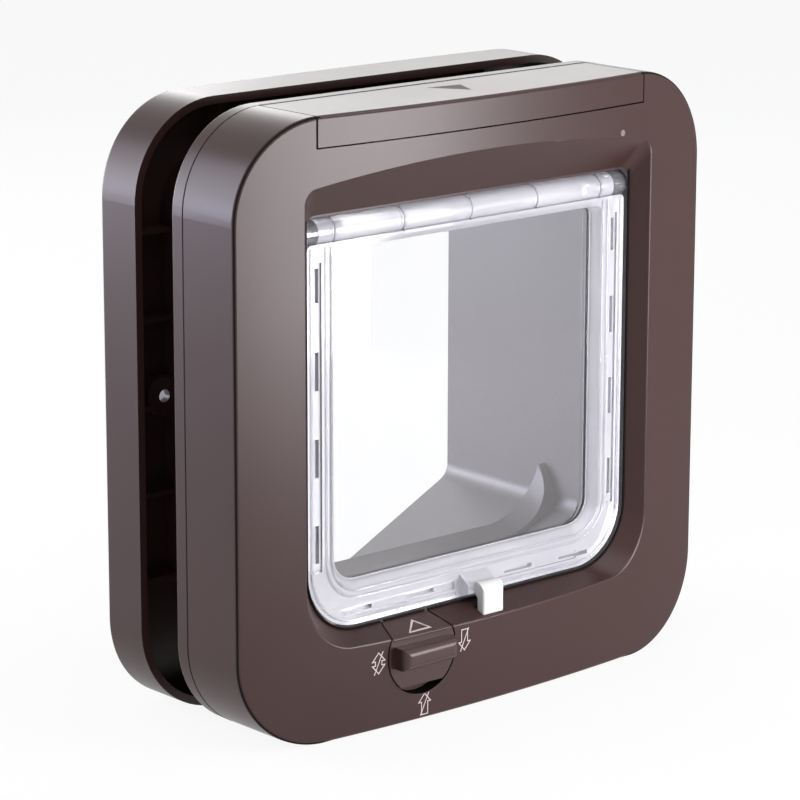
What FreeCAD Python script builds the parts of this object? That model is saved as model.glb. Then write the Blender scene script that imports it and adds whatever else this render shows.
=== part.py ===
import FreeCAD, Part
import math
import os

# A microchip-reading cat flap for a door panel, in millimetres.
# X runs to the right, Y from the indoor side to the outdoor side, Z up.
# While modelling, y = 0 is the front edge of the indoor housing's sides.

# Indoor housing
body_w = 210.0
body_h = 210.0
corner_r = 33.0
front_bow = 7.5
seam_y = 26.0
housing_depth = 32.0
wall = 2.6
edge_r = 1.3
seam_gap = 0.25

# Outdoor frame and the door panel between the two
door_gap = 19.0
frame_depth = 18.5
frame_bow = 3.5
frame_wall = 2.8
frame_slack = 0.5
collar_wall = 2.4
rib_wall = 1.6
rib_step = 30.0
rib_high = 7.5

# Funnel-shaped recess in the front face
recess_w = body_w - 53.6
recess_low = 30.2
recess_high = body_h - 18.0
recess_low_r = 19.0
recess_high_r = 4.5
recess_end_y = 3.0
recess_lip_r = 0.8

# Flap and its hinge
flap_w = body_w - 66.0
flap_low = 35.4
flap_corner_r = 20.8
flap_front_y = 3.5
flap_thick = 9.0
pane_thick = 2.4
hinge_z = body_h - 40.2
tube_r = 4.6
tube_len = flap_w - 10.0
ring_step = 30.2
pin_r = 1.6
pin_grip = 10.0
pin_seat = 1.6
running_fit = 0.05
swing_gap = 1.0
side_gap = 1.4
flap_top = hinge_z - 3.2
window_w = flap_w - 27.0
window_low = 50.4
window_high = hinge_z - 6.8
window_r = 9.0
window_high_r = 2.5
rim_flange = 3.2
rim_groove = 3.0
rim_slope = 2.6
groove_depth = 0.9
pane_tongue = 1.6
slot_len = 13.0
slot_step = 29.3

# Tunnel through the door
tunnel_w = body_w - 58.0
tunnel_low = 21.0
tunnel_high = body_h - 25.0
tunnel_low_r = 14.0
tunnel_high_r = 16.0
tunnel_wall = 2.5
bevel_high = 46.2
bevel_slope = 0.5
bevel_high_r = 6.5
bevel_low_r = 12.0
tunnel_end_y = 99.5
sill_y = 50.0
sill_skin = 2.2
fin_tip_z = 60.5
fin_from_x = tunnel_w / 2 - 26.0

# Lock dial and the rotary lock plate behind it
dial_x = -30.6
dial_z = 23.9
dial_r = 14.3
dial_gap = 0.6
dial_back_y = 2.4
grip_proud = 5.64
grip_len = 24.0
grip_w = 7.6
hub_r = 4.0
collar_r = 6.2
collar_y = 5.8
lock_r = 13.0
lock_y = 14.6
lock_thick = 3.0

# Entry latch and its magnet coil
latch_x = 2.9
latch_w = 9.6
latch_thick = 3.0
latch_front_y = -6.0
latch_top = 41.4
latch_travel = 8.0
latch_gap = 0.3
bridge_z = 25.5
coil_top = 14.0
bobbin_w = 14.0
bobbin_d = 12.0
plunger_r = 2.0
spring_r = 3.1
spring_wire_r = 0.3
spring_foot = 5.5

# Batteries and their cover
cover_w = body_w - 63.6
cover_low = body_h - 10.2
cover_gap = 0.5
cell_r = 7.0
cell_len = 49.6
cell_z = body_h - 9.9
cell_gap = 0.4
tray_skin = 1.4
contact_skin = 0.5

# Electronics
lamp_x = body_w / 2 - 42.3
lamp_z = body_h - 20.0
lamp_r = 1.1
board_y = 8.0
board_thick = 1.6
board_low = 60.0
board_top = body_h - 33.0
chip_w = 9.0
loop_gap = 0.4
loop_thick = 2.2
loop_width = 5.0
loop_y = 21.0
ledge_thick = 1.2
button_r = 2.6
button_travel = 1.0

# Screws
fixing_x = body_w / 2 - 21.0
fixing_z = body_h / 2 + 3.0
fixing_r = 2.2
fixing_head_r = 5.0
pilot_r = 1.5
case_screw_x = body_w / 2 - 17.0
case_screw_z = 24.0
case_screw_r = 1.4
case_screw_len = 16.0
screw_hole_len = 16.2
case_boss_r = 4.2

V = FreeCAD.Vector
half_w = body_w / 2
front_y = -front_bow
back_y = housing_depth
frame_y = back_y + door_gap
frame_end_y = frame_y + frame_depth
bow_r = (half_w ** 2 + front_bow ** 2) / (2 * front_bow)
frame_bow_r = (half_w ** 2 + frame_bow ** 2) / (2 * frame_bow)
flap_half = flap_w / 2
flap_back_y = flap_front_y + flap_thick
hinge_y = flap_front_y + flap_thick / 2
pocket_half = flap_half + side_gap
pocket_low = flap_low - swing_gap
pocket_high = hinge_z + tube_r + 2.0
pocket_r = flap_corner_r + swing_gap
tunnel_half = tunnel_w / 2
tunnel_out = tunnel_half + tunnel_wall
tunnel_base = tunnel_low - tunnel_wall
tunnel_top = tunnel_high + tunnel_wall
sweep_r = hinge_z - pocket_low
runner_x = cover_w / 2 - 6
button_x = runner_x - 8.6
button_y = seam_y / 2
past = 5.0


def bow_y(x, depth=0.0):
    """Where the bowed front face, or a surface behind it, lies at x."""
    radius = bow_r - depth
    return front_y + bow_r - math.sqrt(radius ** 2 - x ** 2)


def box(x0, x1, y0, y1, z0, z1):
    return Part.makeBox(x1 - x0, y1 - y0, z1 - z0, V(x0, y0, z0))


def rod_x(y, z, r, x0, x1):
    return Part.makeCylinder(r, x1 - x0, V(x0, y, z), V(1, 0, 0))


def rod_y(x, z, r, y0, y1):
    return Part.makeCylinder(r, y1 - y0, V(x, y0, z), V(0, 1, 0))


def rod_z(x, y, r, z0, z1):
    return Part.makeCylinder(r, z1 - z0, V(x, y, z0), V(0, 0, 1))


def outline(corners, y):
    """Closed outline in the XZ plane through (x, z, radius) corners."""
    rounded = []
    for i, (x, z, r) in enumerate(corners):
        here = V(x, y, z)
        back = (V(corners[i - 1][0], y, corners[i - 1][1]) - here).normalize()
        ahead = corners[(i + 1) % len(corners)]
        on = (V(ahead[0], y, ahead[1]) - here).normalize()
        half_angle = back.getAngle(on) / 2
        run = r / math.tan(half_angle)
        inward = (back + on).normalize()
        middle = here + inward * (r / math.sin(half_angle) - r)
        rounded.append((here + back * run, middle, here + on * run))
    edges = []
    for i, (start, middle, end) in enumerate(rounded):
        edges.append(Part.Arc(start, middle, end).toShape())
        edges.append(Part.LineSegment(end, rounded[(i + 1) % len(rounded)][0]).toShape())
    return Part.Wire(edges)


def loop(half, low, high, low_r, high_r, y):
    """Rounded box outline with its own lower and upper corner radii."""
    return outline([(half, low, low_r), (half, high, high_r), (-half, high, high_r),
                    (-half, low, low_r)], y)


def plate(half, low, high, low_r, high_r, y0, y1):
    return Part.Face(loop(half, low, high, low_r, high_r, y0)).extrude(V(0, y1 - y0, 0))


def body_plate(inset, y0, y1):
    r = corner_r - inset
    return plate(half_w - inset, inset, body_h - inset, r, r, y0, y1)


def tunnel_plate(grow, y0, y1):
    return plate(tunnel_half + grow, tunnel_low - grow, tunnel_high + grow,
                 tunnel_low_r + grow, tunnel_high_r + grow, y0, y1)


def sleeve_plate(grow, y0, y1):
    """The tunnel's outline in the door, its lower corners cut off by the sloping floor sides."""
    lean = math.hypot(1, bevel_slope)
    half = tunnel_half + grow
    low = tunnel_low - grow
    knee = bevel_high + grow * (bevel_slope - lean)
    foot = tunnel_half - (bevel_high - grow * lean - low) / bevel_slope
    side = [(foot, low, bevel_low_r + grow), (half, knee, bevel_high_r + grow),
            (half, tunnel_high + grow, tunnel_high_r + grow)]
    mirrored = [(-x, z, r) for x, z, r in reversed(side)]
    return Part.Face(outline(side + mirrored, y0)).extrude(V(0, y1 - y0, 0))


def inside_tunnel(grow, y0, y1):
    """Room inside the tunnel from y0 to y1, square in the housing and bevelled in the door."""
    step = back_y - tunnel_wall
    return tunnel_plate(grow, y0, step).fuse(sleeve_plate(grow, step - 0.1, y1))


def profile_x(points, x0, x1):
    """A flat outline of (y, z) points, pushed from x0 to x1."""
    wire = Part.makePolygon([V(x0, y, z) for y, z in points + points[:1]])
    return Part.Face(wire).extrude(V(x1 - x0, 0, 0))


def joined(solids):
    return solids[0].fuse(solids[1:]).removeSplitter()


def bowed(inset, y0, y1, depth):
    """The housing's block, cut to the bowed front."""
    drum = Part.makeCylinder(bow_r - depth, body_h, V(0, front_y + bow_r, 0))
    return body_plate(inset, y0, y1).common(drum)


def on_bow(edge):
    middle = (edge.FirstParameter + edge.LastParameter) / 2
    spots = [edge.valueAt(p) for p in (edge.FirstParameter, middle, edge.LastParameter)]
    return all(abs(math.hypot(p.x, p.y - front_y - bow_r) - bow_r) < 0.01 for p in spots)


def recess_block(grow, y0):
    """The funnel from the front face to the flap, or its outside."""
    run = recess_end_y - front_y
    reach = (recess_end_y - y0) / run
    side_y = bow_y(recess_w / 2)
    side_reach = (recess_end_y - y0) / (recess_end_y - side_y)
    half = pocket_half + (recess_w / 2 - pocket_half) * side_reach
    low = pocket_low + (recess_low - pocket_low) * reach
    high = pocket_high + (recess_high - pocket_high) * reach
    front = loop(half + grow, low - grow, high + grow, recess_low_r + grow,
                 recess_high_r + grow, y0)
    end = loop(pocket_half + grow, pocket_low - grow, pocket_high + grow, pocket_r + grow,
               recess_high_r + grow, recess_end_y)
    return Part.makeLoft([front, end], True, True)


def case_screw_spots():
    return [(sx * case_screw_x, z) for sx in (-1, 1)
            for z in (case_screw_z, body_h - case_screw_z)]


def rounded_body():
    solid = bowed(0, front_y - 1, seam_y, 0)
    return solid.makeFillet(edge_r, [e for e in solid.Edges if on_bow(e)])


def housing_shell():
    """Hollow front moulding with the funnel, its mouth rounded over."""
    solid = rounded_body()
    before = {round(e.Length, 3) for e in solid.Edges}
    solid = solid.cut(recess_block(0, front_y - 2))
    mouth = [e for e in solid.Edges if on_bow(e) and round(e.Length, 3) not in before]
    solid = solid.makeFillet(recess_lip_r, mouth)
    cavity = bowed(wall, front_y - 1, seam_y + 1, wall)
    return solid.cut(cavity.cut(recess_block(wall, front_y - 2)))


def cover_block(gap):
    half = cover_w / 2 + gap
    return box(-half, half, front_y - past, seam_y - seam_gap + gap, cover_low - gap,
               body_h + past)


def front_housing(shell):
    """Front shell with the recess, the dial's bearing web, bosses and battery bay."""
    case = shell.cut(cover_block(cover_gap).fuse(box(
        -cover_w / 2 - cover_gap, cover_w / 2 + cover_gap, seam_y - 1, seam_y + 1,
        cover_low, body_h + past)))
    web = box(dial_x - dial_r - 2, dial_x + dial_r + 2, recess_end_y + 0.2,
              recess_end_y + 2.4, wall - 1, pocket_low - wall - 0.4)
    ledge = box(-half_w + wall - 1, half_w - wall + 1, front_y + wall, loop_y - 0.5,
                ledge_z() - ledge_thick, ledge_z()).common(bowed(1, front_y, seam_y, 1))
    rails = []
    for sx in (-1, 1):
        for x in (sx * runner_x - 1.8, sx * runner_x + 1.8):
            rails.append(box(x - 0.5, x + 0.5, front_y, loop_y - 0.5,
                             ledge_z() - 0.5, body_h - wall - 1.0).common(
                bowed(wall + 0.3, front_y, seam_y, wall + 0.3)))
    sleeve = rod_z(button_x, button_y, button_r + 1.4, ledge_z() - 0.5, cover_low - 1.4)
    bosses = [rod_y(x, z, case_boss_r, front_y, seam_y + 2).common(
        bowed(1, front_y, seam_y + 2.1, 1)) for x, z in case_screw_spots()]
    case = joined([case, web, ledge, sleeve] + rails + bosses)
    holes = [rod_y(x, z, case_screw_r, seam_y + 3 - screw_hole_len, seam_y + 3) for x, z in case_screw_spots()]
    holes.append(rod_y(dial_x, dial_z, dial_r + dial_gap, front_y - past, recess_end_y))
    holes.append(rod_y(dial_x, dial_z, hub_r + running_fit, 0, seam_y))
    holes.append(rod_y(lamp_x, lamp_z, lamp_r, front_y - past, board_y))
    holes.append(box(lamp_x - 2, lamp_x + 2, board_y - 4, board_y, lamp_z - 2, ledge_z() - 0.4))
    holes.append(box(latch_x - latch_w / 2 - latch_gap, latch_x + latch_w / 2 + latch_gap,
                     latch_front_y - latch_gap, latch_back_y() + latch_gap,
                     bridge_z - latch_travel - 1, latch_top + 1))
    holes.append(rod_z(button_x, button_y, button_r + running_fit, ledge_z(), cover_low))
    return case.cut(Part.makeCompound(holes))


def ledge_z():
    """Top of the shelf that carries the battery tray."""
    return tray_floor_z() - tray_skin


def tray_floor_z():
    return cell_z - cell_r


def latch_back_y():
    """The latch's hooked head reaches back this far, short of the flap's catch."""
    return latch_front_y + latch_thick + 1.5


def battery_cover(shell):
    """Slide-off cover: the housing's own top and upper lip, with runners under its edges."""
    cover = shell.common(cover_block(0))
    runners = [box(sx * runner_x - 1, sx * runner_x + 1, 2, loop_y - 0.5,
                   body_h - 2 * wall, body_h - wall + 0.5) for sx in (-1, 1)]
    cover = joined([cover] + runners)
    rear = seam_y - 6.5
    arrow = Part.Face(Part.makePolygon([V(-7, rear, body_h), V(7, rear, body_h),
                                        V(0, rear - 9, body_h), V(-7, rear, body_h)]))
    return cover.cut(arrow.extrude(V(0, 0, 1)).translated(V(0, 0, -0.4)))


def back_plate():
    """Shallow rear pan that closes the housing and seats against the door."""
    pan = body_plate(0, seam_y, back_y)
    rear = [e for e in pan.Edges if all(abs(v.Y - back_y) < 0.01 for v in e.Vertexes)]
    pan = pan.makeFillet(1.2, rear)
    pan = pan.cut(body_plate(wall, seam_y - 1, back_y - wall))
    groove = body_plate(-1, seam_y - 0.5, seam_y + seam_gap).cut(
        body_plate(0.5, seam_y - 1, seam_y + 1))
    pan = pan.cut(groove)
    pilot_y = loop_y + loop_width + 0.3
    solids = [pan]
    for x, z in case_screw_spots():
        solids.append(rod_y(x, z, case_boss_r, seam_y + 2, back_y - 0.5))
    for sx in (-1, 1):
        solids.append(rod_y(sx * fixing_x, fixing_z, 4.4, pilot_y, back_y - 0.5))
    pan = joined(solids)
    cuts = [tunnel_plate(tunnel_wall, seam_y - 5, back_y + 1)]
    for x, z in case_screw_spots():
        cuts.append(rod_y(x, z, case_screw_r + 0.2, seam_y, back_y + 1))
        cuts.append(rod_y(x, z, 3.0, back_y - 2.4, back_y + 1))
    for sx in (-1, 1):
        cuts.append(rod_y(sx * fixing_x, fixing_z, pilot_r, pilot_y + 1, back_y + 1))
    return pan.cut(Part.makeCompound(cuts))


def flap_sweep(gap):
    """Room that the flap's rounded lower edge needs as it swings out."""
    half = flap_half + gap
    low = flap_low - gap
    face = Part.Face(loop(half, low, hinge_z - 20, flap_corner_r + gap, 2, hinge_y))
    return face.revolve(V(0, hinge_y, hinge_z), V(1, 0, 0), 60)


def sill_fin(side):
    """Shark-fin end of the sill that seals round the flap's lower corner."""
    tip = V(0, sill_y - 3, fin_tip_z)
    foot = V(0, sill_y - 4, tunnel_low + 8)
    nose = V(0, sill_y - 9.3, (tip.z + foot.z) / 2 + 2)
    heel = V(0, sill_y, sill_crest_z() + 3)
    base = V(0, sill_y, foot.z)
    wire = Part.Wire([Part.Arc(foot, nose, tip).toShape(), Part.LineSegment(tip, heel).toShape(),
                      Part.LineSegment(heel, base).toShape(),
                      Part.LineSegment(base, foot).toShape()])
    start = fin_from_x if side > 0 else -tunnel_half
    fin = Part.Face(wire).translated(V(start, 0, 0)).extrude(V(tunnel_half - fin_from_x, 0, 0))
    return fin.common(sleeve_plate(0.5, back_y, sill_y + 1))


def sill_crest_z():
    return hinge_z - math.sqrt(sweep_r ** 2 - (sill_y - hinge_y) ** 2)


def tunnel():
    """Tunnel moulding: front plate, concave sill with fins, and the sleeve through the door."""
    tube = tunnel_plate(tunnel_wall, recess_end_y, back_y).fuse(
        sleeve_plate(tunnel_wall, back_y - 1, tunnel_end_y))
    tube = tube.cut(inside_tunnel(0, recess_end_y + tunnel_wall, tunnel_end_y + 1))
    tube = tube.cut(plate(pocket_half, pocket_low, pocket_high, pocket_r, recess_high_r,
                          recess_end_y - 1, recess_end_y + tunnel_wall + 1))
    inside = inside_tunnel(0.5, recess_end_y + 1, sill_y)
    hump = inside.common(box(-tunnel_half - 1, tunnel_half + 1, recess_end_y + 1, sill_y,
                             tunnel_low - 1, sill_crest_z() + 2))
    hollow_r = sweep_r + sill_skin
    hollow = box(-tunnel_half - 1, tunnel_half + 1, recess_end_y, sill_y - sill_skin,
                 tunnel_low, sill_crest_z()).cut(
        rod_x(hinge_y, hinge_z, hollow_r, -body_w, body_w))
    hump = hump.cut(hollow.common(inside_tunnel(0, recess_end_y, sill_y)))
    fins = [sill_fin(side).cut(flap_sweep(swing_gap)) for side in (-1, 1)]
    hump = hump.cut(rod_x(hinge_y, hinge_z, sweep_r, -body_w, body_w))
    hump = joined([hump] + fins)
    solid = joined([tube, hump])
    bay_top = pocket_low - wall - 0.2
    lock_half = lock_r - 2.4
    cuts = [
        box(dial_x - dial_r - 3, latch_x + 12, recess_end_y - 1, recess_end_y + tunnel_wall,
            tunnel_base - 1, bay_top),
        box(dial_x - dial_r - 3, latch_x + 12, recess_end_y - 1, lock_y + lock_thick + 3,
            tunnel_base - 1, tunnel_low + 4),
        box(dial_x - lock_half, dial_x + lock_half, lock_y - latch_gap,
            lock_y + lock_thick + latch_gap, tunnel_low, pocket_low + 3),
        rod_x(hinge_y, hinge_z, pin_r, -tunnel_half - pin_seat, tunnel_half + pin_seat),
        rod_x(hinge_y, hinge_z, tube_r, -tunnel_half, tunnel_half),
    ]
    return solid.cut(Part.makeCompound(cuts))


def flap_pane():
    """Clear window, its edge tongue sealed into the flap's rim."""
    return plate(window_w / 2 + pane_tongue, window_low - pane_tongue, window_high + pane_tongue,
                 window_r + pane_tongue, window_high_r + pane_tongue, hinge_y - pane_thick / 2,
                 hinge_y + pane_thick / 2)


def flap():
    """Translucent moulded rim of the flap with its hinge tube and the catch for the entry latch."""
    outer = plate(flap_half, flap_low, flap_top, flap_corner_r, 2.0, flap_front_y, flap_back_y)
    pane_y = (hinge_y - pane_thick / 2, hinge_y + pane_thick / 2)

    def ring(grow, y):
        return loop(window_w / 2 + grow, window_low - grow, window_high + min(grow, 1.0),
                    window_r + grow, window_high_r, y)

    front = Part.makeLoft([ring(rim_slope, flap_front_y), ring(0, pane_y[0])], True, True)
    back = Part.makeLoft([ring(0, pane_y[1]), ring(rim_slope, flap_back_y)], True, True)
    solid = outer.cut(front).cut(back)
    web = box(-tube_len / 2, tube_len / 2, hinge_y - 2, hinge_y + 2, flap_top - 1, hinge_z)
    tube = rod_x(hinge_y, hinge_z, tube_r, -tube_len / 2, tube_len / 2)
    catch = profile_x([(flap_front_y + 1, flap_low + 0.9), (flap_front_y - 4.6, flap_low + 1.8),
                       (flap_front_y - 4.6, latch_top - 1), (flap_front_y + 1, latch_top + 3)],
                      latch_x - latch_w / 2 - 2.6, latch_x + latch_w / 2 + 0.6)
    solid = joined([solid, web, tube, catch])
    trench = [flap_pane()]
    mid = rim_flange + rim_groove / 2
    deep = groove_depth
    for sx in (-1, 1):
        x = sx * (flap_half - mid)
        trench.append(box(x - rim_groove / 2, x + rim_groove / 2, flap_front_y - 1,
                          flap_front_y + deep, flap_low + flap_corner_r, flap_top - 6))
        count = int((flap_top - flap_low - flap_corner_r - slot_len) / slot_step) + 1
        for i in range(count):
            z = flap_low + flap_corner_r + 3 + i * slot_step
            trench.append(box(x - 0.8, x + 0.8, flap_front_y - 1, flap_front_y + deep + 2,
                              z, min(z + slot_len, flap_top - 8)))
    z = flap_low + mid
    straight = flap_half - flap_corner_r
    trench.append(box(-straight, latch_x - latch_w, flap_front_y - 1, flap_front_y + deep,
                      z - rim_groove / 2, z + rim_groove / 2))
    trench.append(box(latch_x + latch_w, straight, flap_front_y - 1, flap_front_y + deep,
                      z - rim_groove / 2, z + rim_groove / 2))
    for x in (-50, -22, 24, 50):
        trench.append(box(x - slot_len / 2, x + slot_len / 2, flap_front_y - 1,
                          flap_front_y + deep + 2, z - 0.8, z + 0.8))
    rings = [rod_x(hinge_y, hinge_z, tube_r + 1, x - 0.4, x + 0.4).cut(
        rod_x(hinge_y, hinge_z, tube_r - 0.3, x - 1, x + 1))
        for x in [i * ring_step for i in range(-2, 3)]]
    bores = [rod_x(hinge_y, hinge_z, pin_r + running_fit, sx * tube_len / 2 - 12,
                   sx * tube_len / 2 + 12) for sx in (-1, 1)]
    shoulders = [rod_x(hinge_y, hinge_z, tube_r + 0.5, x, x + flap_half)
                 for x in (tube_len / 2, -tube_len / 2 - flap_half)]
    return solid.cut(Part.makeCompound(trench)).cut(Part.makeCompound(rings)).cut(
        Part.makeCompound(bores)).cut(Part.makeCompound(shoulders))


def hinge_pins():
    start = tube_len / 2 - pin_grip
    end = tunnel_half + pin_seat
    return [rod_x(hinge_y, hinge_z, pin_r, x, x + end - start) for x in (start, -end)]


def hinge_bushes():
    start = tube_len / 2 + 0.3
    bushes = []
    for x in (start, -tunnel_half):
        bush = rod_x(hinge_y, hinge_z, tube_r, x, x + tunnel_half - start)
        bushes.append(bush.cut(rod_x(hinge_y, hinge_z, pin_r, x - 1, x + tunnel_half)))
    return bushes


def frame_block(inset, y0, y1, depth):
    """The outdoor frame's block, cut to its gently bowed outer face."""
    centre_y = frame_end_y + frame_bow - frame_bow_r
    drum = Part.makeCylinder(frame_bow_r - depth, body_h, V(0, centre_y, 0))
    return body_plate(inset, y0, y1).common(drum)


def outer_frame():
    """Outdoor frame: an open-backed ring with a collar round the tunnel, ribs and screw seats."""
    far = frame_end_y + frame_bow + 1
    centre_y = frame_end_y + frame_bow - frame_bow_r
    ring = frame_block(0, frame_y, far, 0)
    rim = [e for e in ring.Edges if all(abs(math.hypot(v.X, v.Y - centre_y) - frame_bow_r) < 0.01
                                        for v in e.Vertexes)]
    ring = ring.makeFillet(edge_r, rim)
    ring = ring.cut(frame_block(frame_wall, frame_y - 1, far, frame_wall))
    collar = sleeve_plate(tunnel_wall + frame_slack + collar_wall, frame_y, far).common(
        frame_block(1, frame_y, far, 1))
    solids = [ring, collar]
    rib_y = frame_end_y - rib_high
    inner = frame_block(frame_wall - 0.5, rib_y, far, frame_wall - 0.5)
    for i in range(-2, 3):
        at = i * rib_step
        solids.append(box(at - rib_wall / 2, at + rib_wall / 2, rib_y, far, 0.5,
                          body_h - 0.5).common(inner))
        z = body_h / 2 + at
        solids.append(box(-half_w + 0.5, half_w - 0.5, rib_y, far, z - rib_wall / 2,
                          z + rib_wall / 2).common(inner))
    seat_y = frame_end_y - 5.6
    for sx in (-1, 1):
        solids.append(rod_y(sx * fixing_x, fixing_z, fixing_head_r + 2, seat_y, far).common(inner))
    ring = joined(solids)
    cuts = [sleeve_plate(tunnel_wall + frame_slack, frame_y - 1, far + 1)]
    for sx in (-1, 1):
        cuts.append(rod_y(sx * fixing_x, fixing_z, fixing_r, frame_y - 1, far + 1))
        cuts.append(rod_y(sx * fixing_x, fixing_z, fixing_head_r, seat_y + 2.8, far + 1))
        cuts.append(rod_y(sx * fixing_x, fixing_z, fixing_head_r + 2, frame_y - 1, seat_y))
    return ring.cut(Part.makeCompound(cuts))


def lock_dial():
    """Dial with a raised grip; its upper part follows the recess and carries the pointer."""
    drum = rod_y(dial_x, dial_z, dial_r, front_y - 1, dial_back_y)
    drum = drum.common(bowed(0, front_y - 1, seam_y, 0)).cut(recess_block(0, front_y - 2))
    half = grip_len / 2
    front = bow_y(dial_x) - grip_proud
    hollow = box(dial_x - dial_r, dial_x + dial_r, front_y - past, front_y + 4.5,
                 dial_z - dial_r, dial_z - 11.2)
    drum = drum.cut(hollow)
    grip = box(dial_x - half, dial_x + half, front, front_y + 4, dial_z - grip_w / 2,
               dial_z + grip_w / 2)
    long_edges = [e for e in grip.Edges if abs(e.Vertexes[0].Y - front) < 0.01
                  and abs(e.Vertexes[-1].Y - front) < 0.01]
    grip = grip.makeFillet(2.6, long_edges)
    hub = rod_y(dial_x, dial_z, hub_r, dial_back_y - 0.5, lock_y + lock_thick)
    return joined([drum, grip, hub])


def lock_plate():
    """Quarter plate on the dial's hub that rises behind the flap and stops it swinging out."""
    fan = Part.makeCylinder(lock_r, lock_thick, V(dial_x, lock_y, dial_z), V(0, 1, 0), 90)
    corner = V(dial_x, lock_y + lock_thick, dial_z)
    towards = fan.CenterOfMass - corner
    turn = math.degrees(math.atan2(towards.z, towards.x)) + 135
    fan.rotate(corner, V(0, 1, 0), turn)
    collar = rod_y(dial_x, dial_z, collar_r, collar_y, lock_y + lock_thick)
    bore = rod_y(dial_x, dial_z, hub_r, collar_y - 1, lock_y + lock_thick + 1)
    return joined([fan, collar]).cut(bore)


def detent_spring():
    """Bent spring strip that clicks on the dial's hub."""
    top = dial_z - collar_r - 0.3
    thick = 0.5
    over = [(-9, top - 1.5), (-2, top - 0.6), (0, top), (2, top - 0.6), (7, top - 2.2)]
    under = [(x + (thick if x == -9 else 0), z - thick) for x, z in reversed(over)]
    strip = [(-9, wall)] + over + under + [(thick - 9, wall), (-9, wall)]
    face = Part.Face(Part.makePolygon([V(dial_x + x, collar_y + 1, z) for x, z in strip]))
    return face.extrude(V(0, 3, 0))


def entry_latch():
    """White latch: a hooked finger in front of the flap, and the arm to its plunger."""
    x0 = latch_x - latch_w / 2
    y0 = latch_front_y
    y1 = y0 + latch_thick
    back = latch_back_y()
    bend = latch_top - 3.6
    outline = [
        Part.LineSegment(V(x0, y0, bridge_z), V(x0, y0, bend)).toShape(),
        Part.Arc(V(x0, y0, bend), V(x0, y0 + 0.8, latch_top - 1.2),
                 V(x0, y0 + 2.7, latch_top)).toShape(),
        Part.LineSegment(V(x0, y0 + 2.7, latch_top), V(x0, back, latch_top)).toShape(),
        Part.LineSegment(V(x0, back, latch_top), V(x0, back, bend)).toShape(),
        Part.LineSegment(V(x0, back, bend), V(x0, y1, bend - 2)).toShape(),
        Part.LineSegment(V(x0, y1, bend - 2), V(x0, y1, bridge_z)).toShape(),
        Part.LineSegment(V(x0, y1, bridge_z), V(x0, y0, bridge_z)).toShape(),
    ]
    finger = Part.Face(Part.Wire(outline)).extrude(V(latch_w, 0, 0))
    blank = box(x0, x0 + latch_w, y0, back + 1, bridge_z, latch_top + 1)
    front_edges = [e for e in blank.Edges if all(abs(v.Y - y0) < 0.01 for v in e.Vertexes)
                   and abs(e.Vertexes[0].Z - e.Vertexes[-1].Z) > 1]
    finger = finger.common(blank.makeFillet(0.9, front_edges))
    arm = box(x0, x0 + latch_w, y1 - 0.5, plunger_y() + 3.4, bridge_z, bridge_z + 2.4)
    return joined([finger, arm])


def plunger_y():
    return latch_front_y + latch_thick + 5.5


def latch_plunger():
    return rod_z(latch_x, plunger_y(), plunger_r, coil_top - 1.6, bridge_z)


def latch_magnet():
    """Pull magnet that draws the entry latch down."""
    y = plunger_y()
    half_x = bobbin_w / 2
    half_y = bobbin_d / 2
    block = box(latch_x - half_x, latch_x + half_x, y - half_y, y + half_y, wall, coil_top)
    coil = rod_z(latch_x, y, half_x * 0.98, wall + 1.6, coil_top - 1.6)
    notch = box(latch_x - bobbin_w, latch_x + bobbin_w, y - bobbin_d, y + bobbin_d,
                wall + 1.6, coil_top - 1.6)
    bobbin = block.cut(notch).fuse(coil.common(block))
    well_r = spring_r + spring_wire_r + 0.3
    return bobbin.cut(rod_z(latch_x, y, plunger_r + 0.3, wall + 1, coil_top + 1)).cut(
        rod_z(latch_x, y, well_r, spring_foot, coil_top + 1))


def coil_spring(x, y, z0, z1, mean_r, wire_r, turns):
    """Helical spring between two heights, with its wire inside them."""
    low = z0 + wire_r + 0.05
    high = z1 - wire_r - 0.05
    helix = Part.makeHelix((high - low) / turns, high - low, mean_r)
    start = helix.Edges[0].valueAt(helix.Edges[0].FirstParameter)
    tangent = helix.Edges[0].tangentAt(helix.Edges[0].FirstParameter)
    ring = Part.Wire(Part.makeCircle(wire_r, start, tangent))
    coil = Part.Wire(helix.Edges).makePipeShell([ring], True, True)
    return coil.translated(V(x, y, low))


def cells():
    rows = (seam_y - cell_gap - cell_r, seam_y - 2 * cell_gap - 3 * cell_r)
    found = []
    for row, y in enumerate(rows):
        for side in (-1, 1):
            x0 = cell_gap / 2 if side > 0 else -cell_gap / 2 - cell_len
            nub_end = 1 if (row + (side > 0)) % 2 else -1
            can = rod_x(y, cell_z, cell_r, x0 + 0.5, x0 + cell_len - 0.5)
            can = can.makeChamfer(0.5, [e for e in can.Edges if e.Length > 40
                                        and len(e.Vertexes) == 1])
            nub_x = x0 + cell_len - 0.6 if nub_end > 0 else x0
            nub = rod_x(y, cell_z, 2.7, nub_x, nub_x + 0.6)
            found.append(can.fuse(nub).removeSplitter())
    return found


def bay_front():
    """Front edge of the battery rows."""
    return seam_y - 3 * cell_gap - 4 * cell_r


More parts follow.
